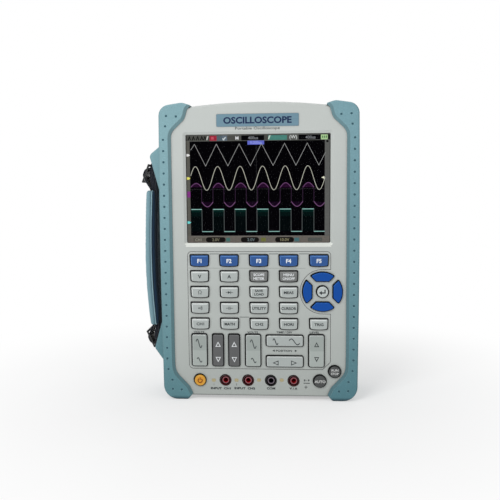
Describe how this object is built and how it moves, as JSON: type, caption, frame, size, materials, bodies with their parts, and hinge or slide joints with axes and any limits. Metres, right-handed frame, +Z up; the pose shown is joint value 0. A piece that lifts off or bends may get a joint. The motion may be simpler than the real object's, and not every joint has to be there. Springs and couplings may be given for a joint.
{
  "type": "handheld oscilloscope",
  "caption": "Handheld oscilloscope and multimeter with colour display, keypad, rubber side bumpers, hand strap, input jacks, tilt stand and port cover.",
  "frame": {"origin": "centre of the footprint, strap included, at the underside of the bumper feet", "axes": "+Z up, front panel towards -Y, +X to the viewer's right"},
  "size_m": [0.1808, 0.052, 0.2457],
  "materials": {
    "case_grey": "fine moulded texture, satin",
    "bumper_teal": "matt overmoulded elastomer",
    "window_clear": "clear acrylic lens, polished",
    "display_panel": "display glass in a dark frame",
    "key_blue": "satin keycap",
    "key_light": "satin keycap",
    "key_dark": "satin keycap",
    "key_yellow": "satin translucent keycap",
    "mat_black": "silicone rubber",
    "board_green": "solder mask over glass epoxy",
    "shield_tin": "tinned sheet",
    "battery_wrap": "heat-shrink wrap",
    "stand_grey": "moulded texture",
    "jack_red": "moulded insulator",
    "jack_black": "moulded insulator",
    "connector_metal": "nickel plate",
    "screw_steel": "blackened steel",
    "strap_web": "woven webbing",
    "strap_pad": "padded woven cloth, navy lining",
    "buckle_black": "moulded acetal"
  },
  "bodies": {
    "housing": {"front_case": "case_grey", "rear_case": "case_grey", "left_bumper": "bumper_teal", "right_bumper": "bumper_teal", "display_window": "window_clear", "display_module": "display_panel", "keypad_mat": "mat_black", "keypad_board": "board_green", "main_board": "board_green", "shield_cans": "shield_tin", "battery_pack": "battery_wrap", "battery_door": "case_grey", "bnc_sockets": "connector_metal", "jacks_red": "jack_red", "jack_black": "jack_black", "side_ports": "connector_metal", "screws": "screw_steel", "strap_loops": "strap_web"},
    "stand": {"tilt_stand": "stand_grey"},
    "cover": {"port_cover": "bumper_teal"},
    "strap": {"strap_webbing": "strap_web", "strap_grip": "strap_pad", "strap_buckles": "buckle_black"},
    "key_f1": {"key_f1": "key_blue"},
    "key_f2": {"key_f2": "key_blue"},
    "key_f3": {"key_f3": "key_blue"},
    "key_f4": {"key_f4": "key_blue"},
    "key_f5": {"key_f5": "key_blue"},
    "key_volts_mode": {"key_volts_mode": "key_light"},
    "key_amps_mode": {"key_amps_mode": "key_light"},
    "key_scope_meter": {"key_scope_meter": "key_dark"},
    "key_menu": {"key_menu": "key_dark"},
    "key_ohms_mode": {"key_ohms_mode": "key_light"},
    "key_diode_mode": {"key_diode_mode": "key_light"},
    "key_save": {"key_save": "key_light"},
    "key_measure": {"key_measure": "key_light"},
    "key_beeper_mode": {"key_beeper_mode": "key_light"},
    "key_capacitance_mode": {"key_capacitance_mode": "key_light"},
    "key_utility": {"key_utility": "key_light"},
    "key_cursor": {"key_cursor": "key_light"},
    "key_channel_1": {"key_channel_1": "key_light"},
    "key_math": {"key_math": "key_light"},
    "key_channel_2": {"key_channel_2": "key_light"},
    "key_horizontal": {"key_horizontal": "key_light"},
    "key_trigger": {"key_trigger": "key_light"},
    "key_arrow_up": {"key_arrow_up": "key_blue"},
    "key_arrow_left": {"key_arrow_left": "key_blue"},
    "key_arrow_down": {"key_arrow_down": "key_blue"},
    "key_arrow_right": {"key_arrow_right": "key_blue"},
    "key_enter": {"key_enter": "key_light"},
    "key_power": {"key_power": "key_yellow"},
    "key_auto": {"key_auto": "key_dark"},
    "key_run": {"key_run": "key_dark"},
    "rocker_ch1_volts": {"rocker_ch1_volts": "key_light"},
    "rocker_ch1_position": {"rocker_ch1_position": "key_dark"},
    "rocker_ch2_position": {"rocker_ch2_position": "key_dark"},
    "rocker_ch2_volts": {"rocker_ch2_volts": "key_light"},
    "rocker_level": {"rocker_level": "key_light"},
    "rocker_time": {"rocker_time": "key_light"},
    "rocker_time_position": {"rocker_time_position": "key_light"}
  },
  "joints": [
    {"name": "stand_hinge", "type": "hinge", "parent": "housing", "child": "stand", "pos_m": [0.0085, 0.0216, 0.16], "axis": [1, 0, 0], "range_deg": [0, 50]},
    {"name": "port_cover_hinge", "type": "hinge", "parent": "housing", "child": "cover", "pos_m": [0.0884, 0.009, 0.177], "axis": [0, 0, 1], "range_deg": [0, 95]},
    {"name": "strap_swing", "type": "hinge", "parent": "housing", "child": "strap", "pos_m": [-0.0777, 0, 0.118], "axis": [0, 0, 1], "range_deg": [-4, 4]},
    {"name": "key_f1_press", "type": "slide", "parent": "housing", "child": "key_f1", "axis": [0, 1, 0], "range_m": [0, 0.001], "stiffness_N_per_m": 200},
    {"name": "key_f2_press", "type": "slide", "parent": "housing", "child": "key_f2", "axis": [0, 1, 0], "range_m": [0, 0.001], "stiffness_N_per_m": 200},
    {"name": "key_f3_press", "type": "slide", "parent": "housing", "child": "key_f3", "axis": [0, 1, 0], "range_m": [0, 0.001], "stiffness_N_per_m": 200},
    {"name": "key_f4_press", "type": "slide", "parent": "housing", "child": "key_f4", "axis": [0, 1, 0], "range_m": [0, 0.001], "stiffness_N_per_m": 200},
    {"name": "key_f5_press", "type": "slide", "parent": "housing", "child": "key_f5", "axis": [0, 1, 0], "range_m": [0, 0.001], "stiffness_N_per_m": 200},
    {"name": "key_volts_mode_press", "type": "slide", "parent": "housing", "child": "key_volts_mode", "axis": [0, 1, 0], "range_m": [0, 0.001], "stiffness_N_per_m": 200},
    {"name": "key_amps_mode_press", "type": "slide", "parent": "housing", "child": "key_amps_mode", "axis": [0, 1, 0], "range_m": [0, 0.001], "stiffness_N_per_m": 200},
    {"name": "key_scope_meter_press", "type": "slide", "parent": "housing", "child": "key_scope_meter", "axis": [0, 1, 0], "range_m": [0, 0.001], "stiffness_N_per_m": 200},
    {"name": "key_menu_press", "type": "slide", "parent": "housing", "child": "key_menu", "axis": [0, 1, 0], "range_m": [0, 0.001], "stiffness_N_per_m": 200},
    {"name": "key_ohms_mode_press", "type": "slide", "parent": "housing", "child": "key_ohms_mode", "axis": [0, 1, 0], "range_m": [0, 0.001], "stiffness_N_per_m": 200},
    {"name": "key_diode_mode_press", "type": "slide", "parent": "housing", "child": "key_diode_mode", "axis": [0, 1, 0], "range_m": [0, 0.001], "stiffness_N_per_m": 200},
    {"name": "key_save_press", "type": "slide", "parent": "housing", "child": "key_save", "axis": [0, 1, 0], "range_m": [0, 0.001], "stiffness_N_per_m": 200},
    {"name": "key_measure_press", "type": "slide", "parent": "housing", "child": "key_measure", "axis": [0, 1, 0], "range_m": [0, 0.001], "stiffness_N_per_m": 200},
    {"name": "key_beeper_mode_press", "type": "slide", "parent": "housing", "child": "key_beeper_mode", "axis": [0, 1, 0], "range_m": [0, 0.001], "stiffness_N_per_m": 200},
    {"name": "key_capacitance_mode_press", "type": "slide", "parent": "housing", "child": "key_capacitance_mode", "axis": [0, 1, 0], "range_m": [0, 0.001], "stiffness_N_per_m": 200},
    {"name": "key_utility_press", "type": "slide", "parent": "housing", "child": "key_utility", "axis": [0, 1, 0], "range_m": [0, 0.001], "stiffness_N_per_m": 200},
    {"name": "key_cursor_press", "type": "slide", "parent": "housing", "child": "key_cursor", "axis": [0, 1, 0], "range_m": [0, 0.001], "stiffness_N_per_m": 200},
    {"name": "key_channel_1_press", "type": "slide", "parent": "housing", "child": "key_channel_1", "axis": [0, 1, 0], "range_m": [0, 0.001], "stiffness_N_per_m": 200},
    {"name": "key_math_press", "type": "slide", "parent": "housing", "child": "key_math", "axis": [0, 1, 0], "range_m": [0, 0.001], "stiffness_N_per_m": 200},
    {"name": "key_channel_2_press", "type": "slide", "parent": "housing", "child": "key_channel_2", "axis": [0, 1, 0], "range_m": [0, 0.001], "stiffness_N_per_m": 200},
    {"name": "key_horizontal_press", "type": "slide", "parent": "housing", "child": "key_horizontal", "axis": [0, 1, 0], "range_m": [0, 0.001], "stiffness_N_per_m": 200},
    {"name": "key_trigger_press", "type": "slide", "parent": "housing", "child": "key_trigger", "axis": [0, 1, 0], "range_m": [0, 0.001], "stiffness_N_per_m": 200},
    {"name": "key_arrow_up_press", "type": "slide", "parent": "housing", "child": "key_arrow_up", "axis": [0, 1, 0], "range_m": [0, 0.001], "stiffness_N_per_m": 200},
    {"name": "key_arrow_left_press", "type": "slide", "parent": "housing", "child": "key_arrow_left", "axis": [0, 1, 0], "range_m": [0, 0.001], "stiffness_N_per_m": 200},
    {"name": "key_arrow_down_press", "type": "slide", "parent": "housing", "child": "key_arrow_down", "axis": [0, 1, 0], "range_m": [0, 0.001], "stiffness_N_per_m": 200},
    {"name": "key_arrow_right_press", "type": "slide", "parent": "housing", "child": "key_arrow_right", "axis": [0, 1, 0], "range_m": [0, 0.001], "stiffness_N_per_m": 200},
    {"name": "key_enter_press", "type": "slide", "parent": "housing", "child": "key_enter", "axis": [0, 1, 0], "range_m": [0, 0.001], "stiffness_N_per_m": 200},
    {"name": "key_power_press", "type": "slide", "parent": "housing", "child": "key_power", "axis": [0, 1, 0], "range_m": [0, 0.001], "stiffness_N_per_m": 200},
    {"name": "key_auto_press", "type": "slide", "parent": "housing", "child": "key_auto", "axis": [0, 1, 0], "range_m": [0, 0.001], "stiffness_N_per_m": 200},
    {"name": "key_run_press", "type": "slide", "parent": "housing", "child": "key_run", "axis": [0, 1, 0], "range_m": [0, 0.001], "stiffness_N_per_m": 200},
    {"name": "rocker_ch1_volts_rock", "type": "hinge", "parent": "housing", "child": "rocker_ch1_volts", "pos_m": [-0.04155, -0.0184, 0.0421], "axis": [1, 0, 0], "range_deg": [-3.5, 3.5], "stiffness_Nm_per_rad": 0.03},
    {"name": "rocker_ch1_position_rock", "type": "hinge", "parent": "housing", "child": "rocker_ch1_position", "pos_m": [-0.026, -0.0184, 0.0421], "axis": [1, 0, 0], "range_deg": [-3.5, 3.5], "stiffness_Nm_per_rad": 0.03},
    {"name": "rocker_ch2_position_rock", "type": "hinge", "parent": "housing", "child": "rocker_ch2_position", "pos_m": [-0.0125, -0.0184, 0.0421], "axis": [1, 0, 0], "range_deg": [-3.5, 3.5], "stiffness_Nm_per_rad": 0.03},
    {"name": "rocker_ch2_volts_rock", "type": "hinge", "parent": "housing", "child": "rocker_ch2_volts", "pos_m": [0.00325, -0.0184, 0.0421], "axis": [1, 0, 0], "range_deg": [-3.5, 3.5], "stiffness_Nm_per_rad": 0.03},
    {"name": "rocker_level_rock", "type": "hinge", "parent": "housing", "child": "rocker_level", "pos_m": [0.05565, -0.0184, 0.0421], "axis": [1, 0, 0], "range_deg": [-3.5, 3.5], "stiffness_Nm_per_rad": 0.03},
    {"name": "rocker_time_rock", "type": "hinge", "parent": "housing", "child": "rocker_time", "pos_m": [0.02945, -0.0184, 0.0505], "axis": [0, 0, 1], "range_deg": [-3.5, 3.5], "stiffness_Nm_per_rad": 0.03},
    {"name": "rocker_time_position_rock", "type": "hinge", "parent": "housing", "child": "rocker_time_position", "pos_m": [0.02945, -0.0184, 0.03305], "axis": [0, 0, 1], "range_deg": [-3.5, 3.5], "stiffness_Nm_per_rad": 0.03}
  ]
}
